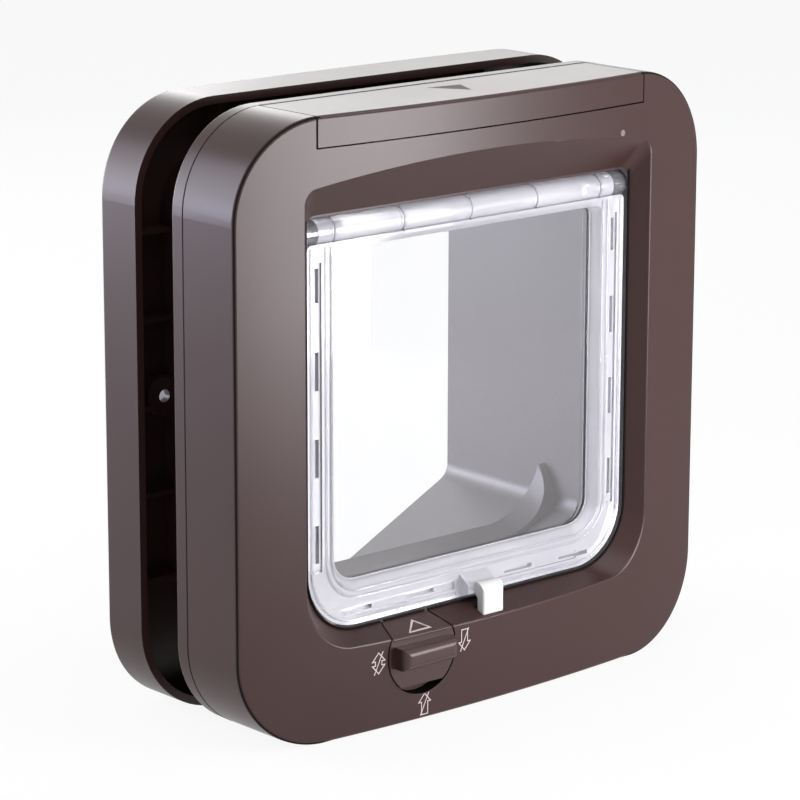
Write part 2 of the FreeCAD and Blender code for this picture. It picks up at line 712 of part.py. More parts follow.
def battery_tray():
    end = cell_len + cell_gap + contact_skin + 0.8
    floor_z = tray_floor_z()
    y0 = bay_front() + 0.8
    y1 = seam_y - 0.2
    floor = box(-end - 1.4, end + 1.4, y0, y1, floor_z - tray_skin, floor_z)
    ends = [box(x, x + 1.4, y0, y1, floor_z - tray_skin, floor_z + 9) for x in (-end - 1.4, end)]
    keel_y = seam_y - 1.5 * cell_gap - 2 * cell_r
    keel = profile_x([(keel_y - 3, floor_z - 0.2), (keel_y + 3, floor_z - 0.2),
                      (keel_y + 0.2, floor_z + 3), (keel_y - 0.2, floor_z + 3)],
                     -cell_len, cell_len)
    row_cut = [rod_x(y, cell_z, cell_r + 0.05, -end, end)
               for y in (keel_y + cell_r + cell_gap / 2, keel_y - cell_r - cell_gap / 2)]
    return joined([floor, keel] + ends).cut(Part.makeCompound(row_cut))


def contact_plate(side):
    """Sprung contact strip with a dimple for each row of cells."""
    x = side * (cell_len + cell_gap + contact_skin / 2 + 0.5)
    floor_z = tray_floor_z()
    strip = box(x - contact_skin / 2, x + contact_skin / 2, bay_front() + 1, seam_y - 1.2,
                floor_z, floor_z + 12)
    rows = (seam_y - cell_gap - cell_r, seam_y - 2 * cell_gap - 3 * cell_r)
    dimples = [Part.makeCone(2.6, 1.6, 0.55, V(x - side * contact_skin / 2, y, cell_z),
                             V(-side, 0, 0)) for y in rows]
    return joined([strip] + dimples)


def circuit_board():
    """Board beside the tunnel, with a narrow arm over it to the lamp."""
    arm_low = tunnel_top + loop_gap
    arm_high = ledge_z() - ledge_thick - 0.2
    side = tunnel_out + 0.8
    step = case_screw_x - case_boss_r - 0.6
    right = half_w - wall - 1.0
    points = [(lamp_x - 6, arm_low), (lamp_x - 6, arm_high), (step, arm_high), (step, board_top),
              (right, board_top), (right, board_low), (side, board_low), (side, arm_low)]
    wire = Part.makePolygon([V(x, board_y, z) for x, z in points + points[:1]])
    return Part.Face(wire).extrude(V(0, board_thick, 0))


def board_parts():
    """Chips, a capacitor, a buzzer and the lamp soldered to the board."""
    x = (tunnel_out + half_w) / 2
    y = board_y + board_thick
    reader_z = (board_low + board_top) / 2
    driver_z = reader_z - 3 * chip_w
    lamp_low = tunnel_top + loop_gap
    half = chip_w / 2
    return [box(x - half, x + half, y, y + chip_w / 6, reader_z, reader_z + chip_w),
            box(x - half / 2, x + half / 2, y, y + chip_w / 6, driver_z, driver_z + half),
            rod_y(x, driver_z - chip_w, chip_w / 3, y, y + chip_w * 0.7),
            rod_y(x, board_top - chip_w * 2, half, y, y + half),
            box(lamp_x - half / 3, lamp_x + half / 3, board_y - lamp_r * 1.5, board_y, lamp_low,
                lamp_z)]


def light_pipe():
    """Clear rod that brings the lamp to a small dot in the front face."""
    solid = rod_y(lamp_x, lamp_z, lamp_r, front_y - 1, board_y - 2.2)
    return solid.common(bowed(0, front_y - 1, seam_y, 0))


def antenna_loop():
    grow = tunnel_wall + loop_gap
    outer = tunnel_plate(grow + loop_thick, loop_y, loop_y + loop_width)
    return outer.cut(tunnel_plate(grow, loop_y - 1, loop_y + loop_width + 1))


def learn_button():
    """Small button under the battery cover, pressed to learn a new chip."""
    top = cover_low + 1.4
    stem = rod_z(button_x, button_y, button_r, ledge_z() + button_travel + 0.3, top)
    cap = rod_z(button_x, button_y, button_r + 0.9, top - 1.6, top)
    cap = cap.makeFillet(0.5, [e for e in cap.Edges if all(v.Z > top - 0.1 for v in e.Vertexes)])
    return joined([stem, cap])


def case_screws():
    screws = []
    for x, z in case_screw_spots():
        shank = rod_y(x, z, case_screw_r, back_y - wall - case_screw_len, back_y - 2.4)
        head = rod_y(x, z, 2.7, back_y - 2.4, back_y - 0.5)
        slots = [box(x - 1.7, x + 1.7, back_y - 1.4, back_y, z - 0.35, z + 0.35),
                 box(x - 0.35, x + 0.35, back_y - 1.4, back_y, z - 1.7, z + 1.7)]
        screws.append(joined([shank, head]).cut(Part.makeCompound(slots)))
    return screws


def save(name, shape):
    """Write one node, moved so that the whole part is centred front to back."""
    grip_front = bow_y(dial_x) - grip_proud
    middle = (grip_front + tunnel_end_y) / 2
    solids = shape if isinstance(shape, list) else [shape]
    whole = solids[0] if len(solids) == 1 else Part.makeCompound(solids)
    if whole.ShapeType == "Compound" and len(whole.Solids) == 1:
        whole = whole.Solids[0]
    whole = whole.translated(V(0, -middle, 0))
    bound = whole.BoundBox
    print(f"{name:16s} solids {len(whole.Solids)} valid {whole.isValid()} volume "
          f"{whole.Volume:9.1f}  x {bound.XMin:.1f} {bound.XMax:.1f}  y {bound.YMin:.2f} "
          f"{bound.YMax:.2f}  z {bound.ZMin:.2f} {bound.ZMax:.2f}")
    whole.exportStep(f"parts/{name}.step")


os.makedirs("parts", exist_ok=True)
shell = housing_shell()
save("front_housing", front_housing(shell))
save("battery_cover", battery_cover(shell))
save("back_plate", back_plate())
save("tunnel", tunnel())
save("outer_frame", outer_frame())
save("flap", flap())
save("flap_pane", flap_pane())
save("hinge_pins", hinge_pins())
save("hinge_bushes", hinge_bushes())
save("lock_dial", lock_dial())
save("lock_plate", lock_plate())
save("detent_spring", detent_spring())
save("entry_latch", entry_latch())
save("latch_plunger", latch_plunger())
save("latch_magnet", latch_magnet())
save("entry_spring", coil_spring(latch_x, plunger_y(), spring_foot, bridge_z, spring_r,
                                 spring_wire_r, 7))
for number, cell in enumerate(cells(), 1):
    save(f"battery_{number}", cell)
save("battery_tray", battery_tray())
save("contact_left", contact_plate(-1))
save("contact_right", contact_plate(1))
save("circuit_board", circuit_board())
save("board_parts", board_parts())
save("light_pipe", light_pipe())
save("antenna_loop", antenna_loop())
save("learn_button", learn_button())
save("case_screws", case_screws())
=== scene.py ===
import bpy
import bmesh
import math
from mathutils import Euler, Matrix, Vector


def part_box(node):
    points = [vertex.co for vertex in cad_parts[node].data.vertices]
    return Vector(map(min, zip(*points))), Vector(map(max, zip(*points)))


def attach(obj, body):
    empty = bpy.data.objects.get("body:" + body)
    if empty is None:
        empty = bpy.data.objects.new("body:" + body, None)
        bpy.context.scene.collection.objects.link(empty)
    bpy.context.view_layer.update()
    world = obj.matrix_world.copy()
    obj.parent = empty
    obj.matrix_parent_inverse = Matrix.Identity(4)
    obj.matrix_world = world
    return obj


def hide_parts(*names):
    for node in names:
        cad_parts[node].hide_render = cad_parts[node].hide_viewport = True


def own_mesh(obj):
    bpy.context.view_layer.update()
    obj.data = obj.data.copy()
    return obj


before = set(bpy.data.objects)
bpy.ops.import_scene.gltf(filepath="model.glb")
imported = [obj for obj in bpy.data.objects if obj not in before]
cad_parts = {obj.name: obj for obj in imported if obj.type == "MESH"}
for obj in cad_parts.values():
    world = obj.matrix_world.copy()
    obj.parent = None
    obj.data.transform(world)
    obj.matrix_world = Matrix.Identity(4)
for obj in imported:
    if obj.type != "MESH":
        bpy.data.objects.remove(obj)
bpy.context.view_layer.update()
print("frame loaded:", len(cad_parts), "nodes")

mm = 0.001
scene = bpy.context.scene
scene.view_settings.view_transform = "Standard"


# Shared shader effects, each built once as a node group.
def newGroup(name, inputs, outputs):
    group = bpy.data.node_groups.new(name, "ShaderNodeTree")
    for label, kind, value in inputs:
        socket = group.interface.new_socket(name=label, in_out="INPUT", socket_type=kind)
        if value is not None:
            socket.default_value = value
    for label, kind in outputs:
        group.interface.new_socket(name=label, in_out="OUTPUT", socket_type=kind)
    return group, group.nodes.new("NodeGroupInput"), group.nodes.new("NodeGroupOutput")


def addNoise(tree, vector, scale, detail=3.0):
    noise = tree.nodes.new("ShaderNodeTexNoise")
    noise.inputs["Scale"].default_value = scale
    noise.inputs["Detail"].default_value = detail
    tree.links.new(vector, noise.inputs["Vector"])
    return noise


def addMath(tree, operation, first, second, clamp=False):
    node = tree.nodes.new("ShaderNodeMath")
    node.operation = operation
    node.use_clamp = clamp
    for slot, value in enumerate((first, second)):
        if isinstance(value, (int, float)):
            node.inputs[slot].default_value = value
        else:
            tree.links.new(value, node.inputs[slot])
    return node.outputs[0]


def addTint(group, colour, shade):
    tint = group.nodes.new("ShaderNodeHueSaturation")
    group.links.new(colour, tint.inputs["Color"])
    group.links.new(shade, tint.inputs["Value"])
    return tint.outputs["Color"]


# Mould texture: a fine height, with slow drifts of gloss and colour.
def mouldedGrainGroup():
    group, start, end = newGroup(
        "mouldedGrain",
        [("Vector", "NodeSocketVector", None), ("Grain Size", "NodeSocketFloat", 2600.0),
         ("Roughness", "NodeSocketFloat", 0.42), ("Drift", "NodeSocketFloat", 0.05),
         ("Colour", "NodeSocketColor", (0.06, 0.04, 0.035, 1.0)),
         ("Colour Drift", "NodeSocketFloat", 0.08)],
        [("Height", "NodeSocketFloat"), ("Roughness", "NodeSocketFloat"),
         ("Colour", "NodeSocketColor")])
    fine = addNoise(group, start.outputs["Vector"], 1.0, 2.0)
    group.links.new(start.outputs["Grain Size"], fine.inputs["Scale"])
    slow = addNoise(group, start.outputs["Vector"], 22.0, 4.0)
    centred = addMath(group, "SUBTRACT", slow.outputs["Fac"], 0.5)
    drift = addMath(group, "MULTIPLY", centred, start.outputs["Drift"])
    rough = addMath(group, "ADD", drift, start.outputs["Roughness"], clamp=True)
    colourShift = addMath(group, "MULTIPLY", centred, start.outputs["Colour Drift"])
    colour = addTint(group, start.outputs["Colour"], addMath(group, "ADD", colourShift, 1.0))
    group.links.new(fine.outputs["Fac"], end.inputs["Height"])
    group.links.new(rough, end.inputs["Roughness"])
    group.links.new(colour, end.inputs["Colour"])
    return group


# Drawn or rolled metal, and wire laid side by side: streaks along one axis.
def brushedGroup():
    group, start, end = newGroup(
        "brushedStreaks",
        [("Vector", "NodeSocketVector", None), ("Stretch", "NodeSocketVector", (1.0, 1.0, 1.0)),
         ("Roughness", "NodeSocketFloat", 0.3), ("Colour", "NodeSocketColor", (0.6, 0.6, 0.6, 1.0))],
        [("Height", "NodeSocketFloat"), ("Roughness", "NodeSocketFloat"),
         ("Colour", "NodeSocketColor")])
    scaled = group.nodes.new("ShaderNodeVectorMath")
    scaled.operation = "MULTIPLY"
    group.links.new(start.outputs["Vector"], scaled.inputs[0])
    group.links.new(start.outputs["Stretch"], scaled.inputs[1])
    streak = addNoise(group, scaled.outputs[0], 900.0, 2.0)
    centred = addMath(group, "SUBTRACT", streak.outputs["Fac"], 0.5)
    swing = addMath(group, "MULTIPLY", centred, 0.25)
    rough = addMath(group, "ADD", swing, start.outputs["Roughness"], clamp=True)
    shade = addMath(group, "ADD", addMath(group, "MULTIPLY", centred, 0.3), 1.0)
    group.links.new(streak.outputs["Fac"], end.inputs["Height"])
    group.links.new(rough, end.inputs["Roughness"])
    group.links.new(addTint(group, start.outputs["Colour"], shade), end.inputs["Colour"])
    return group


# Cloudy mouldings: soft patches where clear plastic is a little milkier, and its surface ripple.
def cloudGroup():
    group, start, end = newGroup(
        "clearClouds",
        [("Vector", "NodeSocketVector", None), ("Cloud Size", "NodeSocketFloat", 60.0),
         ("Clear", "NodeSocketColor", (0.97, 0.97, 0.98, 1.0)),
         ("Milky", "NodeSocketColor", (0.85, 0.86, 0.92, 1.0)),
         ("Roughness", "NodeSocketFloat", 0.1)],
        [("Height", "NodeSocketFloat"), ("Roughness", "NodeSocketFloat"),
         ("Colour", "NodeSocketColor")])
    ripple = addNoise(group, start.outputs["Vector"], 1.0, 2.0)
    group.links.new(start.outputs["Cloud Size"], ripple.inputs["Scale"])
    rub = addNoise(group, start.outputs["Vector"], 90.0, 2.0)
    share = addMath(group, "ADD", rub.outputs["Fac"], 0.5)
    rough = addMath(group, "MULTIPLY", share, start.outputs["Roughness"], clamp=True)
    mix = group.nodes.new("ShaderNodeMix")
    mix.data_type = "RGBA"
    group.links.new(ripple.outputs["Fac"], mix.inputs["Factor"])
    group.links.new(start.outputs["Clear"], mix.inputs[6])
    group.links.new(start.outputs["Milky"], mix.inputs[7])
    group.links.new(ripple.outputs["Fac"], end.inputs["Height"])
    group.links.new(rough, end.inputs["Roughness"])
    group.links.new(mix.outputs[2], end.inputs["Colour"])
    return group


grainGroup = mouldedGrainGroup()
streakGroup = brushedGroup()
clearGroup = cloudGroup()
print("shader groups built")


def newMaterial(name, group, values):
    material = bpy.data.materials.new(name)
    material.use_nodes = True
    tree = material.node_tree
    shader = next(n for n in tree.nodes if n.type == "BSDF_PRINCIPLED")
    coords = tree.nodes.new("ShaderNodeTexCoord")
    effect = tree.nodes.new("ShaderNodeGroup")
    effect.node_tree = group
    for label, value in values.items():
        effect.inputs[label].default_value = value
    tree.links.new(coords.outputs["Object"], effect.inputs["Vector"])
    tree.links.new(effect.outputs["Colour"], shader.inputs["Base Color"])
    tree.links.new(effect.outputs["Roughness"], shader.inputs["Roughness"])
    return material, tree, shader, effect


def addBump(tree, shader, height, strength, distance):
    bump = tree.nodes.new("ShaderNodeBump")
    bump.inputs["Strength"].default_value = strength
    bump.inputs["Distance"].default_value = distance
    tree.links.new(height, bump.inputs["Height"])
    tree.links.new(bump.outputs["Normal"], shader.inputs["Normal"])


def plasticMaterial(name, look):
    material, tree, shader, effect = newMaterial(name, grainGroup, {
        "Grain Size": look.get("grainSize", 2600.0), "Roughness": look["rough"],
        "Drift": look.get("drift", 0.06), "Colour": (*look["colour"], 1.0),
        "Colour Drift": look.get("colourDrift", 0.1)})
    shader.inputs["Specular IOR Level"].default_value = look.get("specular", 0.5)
    shader.inputs["Coat Weight"].default_value = look.get("coat", 0.0)
    addBump(tree, shader, effect.outputs["Height"], look.get("bump", 0.12), 0.04 * mm)
    return material


def metalMaterial(name, look):
    material, tree, shader, effect = newMaterial(name, streakGroup, {
        "Stretch": look["stretch"], "Roughness": look["rough"],
        "Colour": (*look["colour"], 1.0)})
    shader.inputs["Metallic"].default_value = 1.0
    addBump(tree, shader, effect.outputs["Height"], 0.15, 0.02 * mm)
    return material


def clearMaterial(name, look):
    material, tree, shader, effect = newMaterial(name, clearGroup, {
        "Cloud Size": look.get("cloudSize", 60.0), "Roughness": look["rough"],
        "Clear": (*look["clear"], 1.0), "Milky": (*look["milky"], 1.0)})
    shader.inputs["Transmission Weight"].default_value = 1.0 - look["haze"]
    shader.inputs["IOR"].default_value = 1.5
    shader.inputs["Specular IOR Level"].default_value = look.get("specular", 0.5)
    addBump(tree, shader, effect.outputs["Height"], look.get("bump", 0.06), 0.4 * mm)
    return material


# Finish of each material: linear colours, gloss and grain.
plasticLooks = {
    "shellBrown": {"colour": (0.037, 0.0165, 0.0145), "rough": 0.31, "specular": 0.29},
    "rearBrown": {"colour": (0.036, 0.0165, 0.0145), "rough": 0.33, "specular": 0.3},
    # Painted light: the tunnel is brown plastic, coloured a light grey here that stands in for the
    # light on its walls seen through the pane.
    "tunnelPaintedLight": {"colour": (0.155, 0.14, 0.143), "rough": 0.36, "bump": 0.0, "drift": 0.02,
                    "colourDrift": 0.04},
    "dialBrown": {"colour": (0.045, 0.021, 0.019), "rough": 0.32, "specular": 0.4},
    # Near-black for the dark joint and edge lines, and also painted shade: the shadow under the
    # flap's rim and the shade in the dial's bore.
    "jointDarkAndPaintedShade": {"colour": (0.004, 0.0025, 0.0025), "rough": 0.7, "specular": 0.1},
    "coverMark": {"colour": (0.24, 0.21, 0.2), "rough": 0.9, "specular": 0.0},
    "latchWhite": {"colour": (0.62, 0.617, 0.612), "rough": 0.35, "colourDrift": 0.02},
    "innerBlack": {"colour": (0.014, 0.014, 0.015), "rough": 0.5},
    "copperWinding": {"colour": (0.36, 0.12, 0.035), "rough": 0.35, "grainSize": 900.0,
                      "bump": 0.3},
    "cellSleeve": {"colour": (0.02, 0.022, 0.028), "rough": 0.25, "coat": 0.4},
    "boardGreen": {"colour": (0.01, 0.09, 0.03), "rough": 0.3, "grainSize": 1500.0,
                   "bump": 0.1, "coat": 0.3},
    "chipBlack": {"colour": (0.012, 0.012, 0.013), "rough": 0.55, "grainSize": 3200.0},
    "buttonGrey": {"colour": (0.3, 0.3, 0.31), "rough": 0.5},
    "lampPink": {"colour": (0.2, 0.15, 0.16), "rough": 0.25, "grainSize": 900.0,
                 "colourDrift": 0.5},
    "symbolInk": {"colour": (0.5, 0.43, 0.42), "rough": 0.55, "grainSize": 3600.0,
                  "bump": 0.05},
}
metalLooks = {
    "pinSteel": {"colour": (0.78, 0.78, 0.8), "rough": 0.16, "stretch": (0.05, 1.0, 1.0)},
    "springSteel": {"colour": (0.42, 0.42, 0.44), "rough": 0.32, "stretch": (1.0, 1.0, 0.1)},
    "screwSteel": {"colour": (0.45, 0.45, 0.47), "rough": 0.35, "stretch": (1.0, 0.1, 1.0)},
    "contactNickel": {"colour": (0.6, 0.57, 0.5), "rough": 0.25, "stretch": (1.0, 0.2, 1.0)},
}
clearLooks = {
    "rimFrost": {"clear": (0.985, 0.985, 0.995), "milky": (0.83, 0.84, 0.91), "haze": 0.36,
                 "rough": 0.08, "cloudSize": 45.0},
    "beadClear": {"clear": (0.97, 0.97, 0.99), "milky": (0.86, 0.87, 0.93), "haze": 0.1,
                  "rough": 0.04, "cloudSize": 120.0},
    "clearPane": {"clear": (0.985, 0.985, 0.99), "milky": (0.96, 0.965, 0.975), "haze": 0.02,
                  "rough": 0.0, "bump": 0.002, "specular": 0.2},
    "clearBush": {"clear": (0.95, 0.95, 0.97), "milky": (0.86, 0.87, 0.92), "haze": 0.1,
                  "rough": 0.04},
}
finishes = {name: plasticMaterial(name, look) for name, look in plasticLooks.items()}
finishes.update({name: metalMaterial(name, look) for name, look in metalLooks.items()})
finishes.update({name: clearMaterial(name, look) for name, look in clearLooks.items()})
print("materials made:", len(finishes))

nodeFinish = {
    "front_housing": "shellBrown", "battery_cover": "shellBrown", "back_plate": "rearBrown",
    "tunnel": "tunnelPaintedLight", "outer_frame": "rearBrown", "flap": "rimFrost",
    "flap_pane": "clearPane", "hinge_pins": "pinSteel", "hinge_bushes": "clearBush",
    "lock_dial": "dialBrown", "lock_plate": "innerBlack", "detent_spring": "springSteel",
    "entry_latch": "latchWhite", "latch_plunger": "pinSteel", "latch_magnet": "copperWinding",
    "entry_spring": "springSteel", "battery_1": "cellSleeve", "battery_2": "cellSleeve",
    "battery_3": "cellSleeve", "battery_4": "cellSleeve", "battery_tray": "innerBlack",
    "contact_left": "contactNickel", "contact_right": "contactNickel",
    "circuit_board": "boardGreen", "board_parts": "chipBlack", "light_pipe": "lampPink",
    "antenna_loop": "copperWinding", "learn_button": "buttonGrey", "case_screws": "screwSteel",
}
for node, finish in nodeFinish.items():
    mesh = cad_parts[node].data
    mesh.materials.clear()
    mesh.materials.append(finishes[finish])
print("finishes on", len(nodeFinish), "nodes")

# The front moulding's own faces, from its node.
bodyLow, bodyHigh = (Vector(corner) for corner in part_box("front_housing"))
faceShape = {"cornerRadius": 33 * mm, "bow": 7.5 * mm, "seamGap": 0.25 * mm}
halfWidth = bodyHigh.x
bowRadius = (halfWidth ** 2 + faceShape["bow"] ** 2) / (2 * faceShape["bow"])


def faceDepth(x):
    return bodyLow.y + bowRadius - math.sqrt(bowRadius ** 2 - x ** 2)  # y of the bowed front


# A run of points in x and z through (x, z, radius) corners, its arcs in short steps.
def roundedRun(corners, closed, steps=32):
    run = []
    for i, (x, z, radius) in enumerate(corners):
        here = Vector((x, z))
        if not radius:
            run.append(here)
            continue
        back = (Vector(corners[i - 1][:2]) - here).normalized()
        ahead = (Vector(corners[(i + 1) % len(corners)][:2]) - here).normalized()
        halfAngle = back.angle(ahead) / 2
        centre = here + (back + ahead).normalized() * radius / math.sin(halfAngle)
        first = here + back * radius / math.tan(halfAngle) - centre
        last = here + ahead * radius / math.tan(halfAngle) - centre
        sweep = math.pi - 2 * halfAngle
        for step in range(steps + 1):
            turned = sweep * step / steps
            arm = first * math.sin(sweep - turned) + last * math.sin(turned)
            run.append(centre + arm / math.sin(sweep))
    return run, closed


def straightRun(start, stop, steps=1):
    first, last = Vector(start), Vector(stop)
    return [first.lerp(last, i / steps) for i in range(steps + 1)], False


# The run at a fixed y, or behind the bowed front by the inset.
def placedAt(run, depth):
    points, closed = run
    return [(p.x, depth, p.y) for p in points], closed


def placedOnFace(run, inset):
    points, closed = run
    return [(p.x, faceDepth(p.x) + inset, p.y) for p in points], closed


# Round beads swept along paths and repeated by a step.
def beadTree():
    tree = bpy.data.node_groups.new("beadRun", "GeometryNodeTree")
    sockets = {}
    for label, kind in (("Path", "Geometry"), ("Bead Radius", "Float"), ("Sides", "Int"),
                        ("Copies", "Int"), ("Step", "Vector"), ("Finish", "Material")):
        socket = tree.interface.new_socket(name=label, in_out="INPUT",
                                           socket_type="NodeSocket" + kind)
        sockets[label] = socket.identifier
    tree.interface.new_socket(name="Beads", in_out="OUTPUT", socket_type="NodeSocketGeometry")
    start = tree.nodes.new("NodeGroupInput")
    end = tree.nodes.new("NodeGroupOutput")
    route = tree.nodes.new("GeometryNodeMeshToCurve")
    profile = tree.nodes.new("GeometryNodeCurvePrimitiveCircle")
    sweep = tree.nodes.new("GeometryNodeCurveToMesh")
    sweep.inputs["Fill Caps"].default_value = True
    row = tree.nodes.new("GeometryNodeMeshLine")
    copies = tree.nodes.new("GeometryNodeInstanceOnPoints")
    real = tree.nodes.new("GeometryNodeRealizeInstances")
    paint = tree.nodes.new("GeometryNodeSetMaterial")
    for source, target in (
            (start.outputs["Path"], route.inputs["Mesh"]),
            (start.outputs["Sides"], profile.inputs["Resolution"]),
            (start.outputs["Bead Radius"], profile.inputs["Radius"]),
            (route.outputs["Curve"], sweep.inputs["Curve"]),
            (profile.outputs["Curve"], sweep.inputs["Profile Curve"]),
            (start.outputs["Copies"], row.inputs["Count"]),
            (start.outputs["Step"], row.inputs["Offset"]),
            (row.outputs["Mesh"], copies.inputs["Points"]),
            (sweep.outputs["Mesh"], copies.inputs["Instance"]),
            (copies.outputs["Instances"], real.inputs["Geometry"]),
            (real.outputs["Geometry"], paint.inputs["Geometry"]),
            (start.outputs["Finish"], paint.inputs["Material"]),
            (paint.outputs["Geometry"], end.inputs["Beads"])):
        tree.links.new(source, target)
    return tree, sockets


beadGroup, beadSockets = beadTree()


def addPiece(name, mesh, body):
    piece = bpy.data.objects.new(name, mesh)
    scene.collection.objects.link(piece)
    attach(piece, body)
    return piece


def runBeads(name, paths, bead, body):
    verts, edges = [], []
    for points, closed in paths:
        first, count = len(verts), len(points)
        verts += points
        edges += [(first + i, first + i + 1) for i in range(count - 1)]
        if closed:
            edges.append((first + count - 1, first))
    pathMesh = bpy.data.meshes.new(name + "Path")
    pathMesh.from_pydata(verts, edges, [])
    holder = bpy.data.objects.new(name + "Path", pathMesh)
    scene.collection.objects.link(holder)
    modifier = holder.modifiers.new("beads", "NODES")
    modifier.node_group = beadGroup
    finish = finishes[bead["finish"]]
    for label, value in (("Bead Radius", bead["radius"]), ("Sides", bead.get("sides", 10)),
                         ("Copies", bead.get("copies", 1)),
                         ("Step", bead.get("step", (0.0, 0.0, 0.0))), ("Finish", finish)):
        modifier[beadSockets[label]] = value
    built = holder.evaluated_get(bpy.context.evaluated_depsgraph_get())
    mesh = bpy.data.meshes.new_from_object(built)
    holder.modifiers.clear()
    bpy.data.objects.remove(holder)
    made = bmesh.new()
    made.from_mesh(mesh)
    bmesh.ops.remove_doubles(made, verts=made.verts[:], dist=0.001 * mm)
    bmesh.ops.recalc_face_normals(made, faces=made.faces[:])
    for face in made.faces:
        face.smooth = True
        face.material_index = 0
    made.to_mesh(mesh)
    made.free()
    mesh.materials.clear()
    mesh.materials.append(finish)
    return addPiece(name, mesh, body)


# Dark line round the front's edge, and the joint where the two mouldings meet.
edgeLine = {"radius": 0.44 * mm, "inset": 0.52 * mm, "sides": 12, "finish": "jointDarkAndPaintedShade",
            "slot": "shell_plastic"}
seamLine = {"radius": 0.4 * mm, "inset": 0.3 * mm, "sides": 10, "finish": "jointDarkAndPaintedShade",
            "slot": "shell_plastic"}
coverLow, coverHigh = (Vector(corner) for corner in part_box("battery_cover"))


def bodyRun(inset, gapFrom, gapTo):
    low, high, side = inset, bodyHigh.z - inset, halfWidth - inset
    radius = faceShape["cornerRadius"] - inset
    corners = [(gapFrom, high, 0), (-side, high, radius), (-side, low, radius),
               (side, low, radius), (side, high, radius), (gapTo, high, 0)]
    return roundedRun(corners, False)


edgeRun = bodyRun(edgeLine["inset"], coverLow.x, coverHigh.x)
runBeads("edge_line", [placedOnFace(edgeRun, edgeLine["inset"])], edgeLine, "housing")
coverLine = {**edgeLine, "radius": 0.3 * mm, "finish": "shellBrown", "steps": 16}
edgeTop = bodyHigh.z - edgeLine["inset"]
coverEdge = straightRun((coverLow.x, edgeTop), (coverHigh.x, edgeTop), coverLine["steps"])
runBeads("cover_edge_line", [placedOnFace(coverEdge, edgeLine["inset"])], coverLine,
         "battery_cover")
coverGap = {"x": coverLow.x - 0.56 * mm, "radius": 0.4 * mm, "inset": 0.34 * mm, "sides": 10,
            "low": coverLow.z - 0.3 * mm, "finish": "jointDarkAndPaintedShade", "slot": "shell_plastic"}
gapRun = straightRun((coverGap["x"], coverGap["low"]),
                     (coverGap["x"], coverHigh.z - edgeLine["inset"]))
runBeads("cover_gap", [placedOnFace(gapRun, coverGap["inset"])], coverGap, "housing")
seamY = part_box("back_plate")[0][1] - faceShape["seamGap"] / 2
seamRun = bodyRun(seamLine["inset"], coverLow.x, coverHigh.x)
runBeads("seam_line", [placedAt(seamRun, seamY)], seamLine, "housing")
coverSeam = {**seamLine, "radius": 0.85 * mm, "inset": 0.75 * mm, "y": -18.4 * mm}
seamTop = coverHigh.z - coverSeam["inset"]
coverSeamRun = straightRun((coverLow.x, seamTop), (coverHigh.x, seamTop))
runBeads("cover_seam_line", [placedAt(coverSeamRun, coverSeam["y"])], coverSeam,
         "battery_cover")
print("edge and seam lines run")

# Moulded ridges on the flap's rim, each at its own distance outside the window.
paneLow, paneHigh = (Vector(corner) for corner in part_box("flap_pane"))
flapLow, flapHigh = (Vector(corner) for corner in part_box("flap"))
rimRidges = {"tongue": 1.6 * mm, "windowRadius": 9.0 * mm, "outward": (3.3 * mm, 5.6 * mm),
             "top": 165.4 * mm, "front": -40.0 * mm, "arcSteps": 14, "radius": 0.5 * mm,
             "sides": 12, "finish": "beadClear", "slot": "rim_clear"}
rimEdge = {"inset": 1.6 * mm, "cornerRadius": 19.2 * mm, "latchFrom": -6.5 * mm,
           "latchTo": 10.5 * mm, "radius": 0.55 * mm, "sides": 12, "finish": "beadClear",
           "slot": "rim_clear"}
paneLine = {"outward": 0.1 * mm, "front": -36.8 * mm, "radius": 0.28 * mm, "sides": 8,
            "finish": "rimFrost", "slot": "rim_clear"}
windowHalf = paneHigh.x - rimRidges["tongue"]
windowLow = paneLow.z + rimRidges["tongue"]
windowHigh = paneHigh.z - rimRidges["tongue"]


def windowRun(outward, top):
    half, low = windowHalf + outward, windowLow - outward
    radius = rimRidges["windowRadius"] + outward
    return roundedRun([(-half, top, 0), (-half, low, radius), (half, low, radius),
                       (half, top, 0)], False, rimRidges["arcSteps"])


runBeads("rim_ridges", [placedAt(windowRun(out, rimRidges["top"]), rimRidges["front"])
                        for out in rimRidges["outward"]], rimRidges, "flap")
rimSide, rimLow = flapHigh.x - rimEdge["inset"], flapLow.z + rimEdge["inset"]
rimCorners = [[(side * rimSide, rimRidges["top"], 0),
               (side * rimSide, rimLow, rimEdge["cornerRadius"]), (stop, rimLow, 0)]
              for side, stop in ((-1, rimEdge["latchFrom"]), (1, rimEdge["latchTo"]))]
runBeads("rim_edge", [placedAt(roundedRun(corners, False, rimRidges["arcSteps"]),
                               rimRidges["front"]) for corners in rimCorners], rimEdge, "flap")
paneRun = windowRun(paneLine["outward"], windowHigh)
runBeads("pane_line", [placedAt(paneRun, paneLine["front"])], paneLine, "flap")

# Painted shadow: a dark bead round the mouth of the flap's pocket, where the flap's rim shades it.
# The dial's stretch of it turns in the bore.
pocketShadow = {"half": 73.3 * mm, "low": 34.5 * mm, "cornerRadius": 21.7 * mm, "top": 175.5 * mm,
              "front": -41.0 * mm, "radius": 0.42 * mm, "sides": 8, "finish": "jointDarkAndPaintedShade",
              "slot": "shell_plastic"}
dialSpan = {"middle": -30.6 * mm, "outer": 10.9 * mm, "inner": 9.1 * mm}


def pocketShadowRun(side):
    half, low = pocketShadow["half"] * side, pocketShadow["low"]
    run = roundedRun([(half, pocketShadow["top"], 0), (half, low, pocketShadow["cornerRadius"]),
                      (dialSpan["middle"] + side * dialSpan["outer"], low, 0)], False)
    return placedAt(run, pocketShadow["front"])


